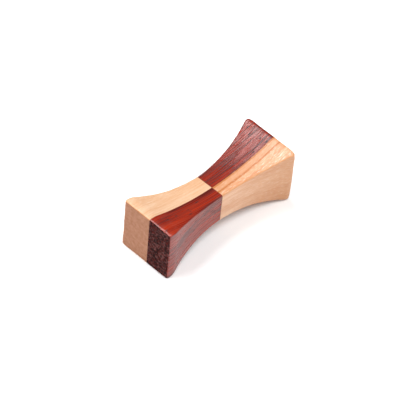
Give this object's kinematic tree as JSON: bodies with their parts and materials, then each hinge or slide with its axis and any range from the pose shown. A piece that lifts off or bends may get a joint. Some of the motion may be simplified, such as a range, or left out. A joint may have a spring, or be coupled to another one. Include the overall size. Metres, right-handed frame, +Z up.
{
  "type": "chopstick rest",
  "caption": "Waisted hardwood block of pale and red wood glued in a checkerboard, with a dipped top that holds chopstick tips off the table.",
  "frame": {"origin": "centre of the plane that the rest stands on, under the middle of the waist", "axes": "+X along the rest, from the end with pale wood at +Y to the end with red wood at +Y; +Y across it; +Z up through the dipped top"},
  "size_m": [0.042, 0.016, 0.015],
  "materials": {
    "pale_wood": "maple-like pale hardwood, sanded smooth, satin oil",
    "red_wood": "padauk-like red hardwood with open pores, sanded smooth, satin oil",
    "glue": "cured amber wood glue, sanded flush"
  },
  "bodies": {
    "root": {"pale_block_left": "pale_wood", "red_block_left": "red_wood", "red_block_right": "red_wood", "pale_block_right": "pale_wood", "glue_line_left": "glue", "glue_line_right": "glue", "glue_joint_waist": "glue"}
  },
  "joints": []
}
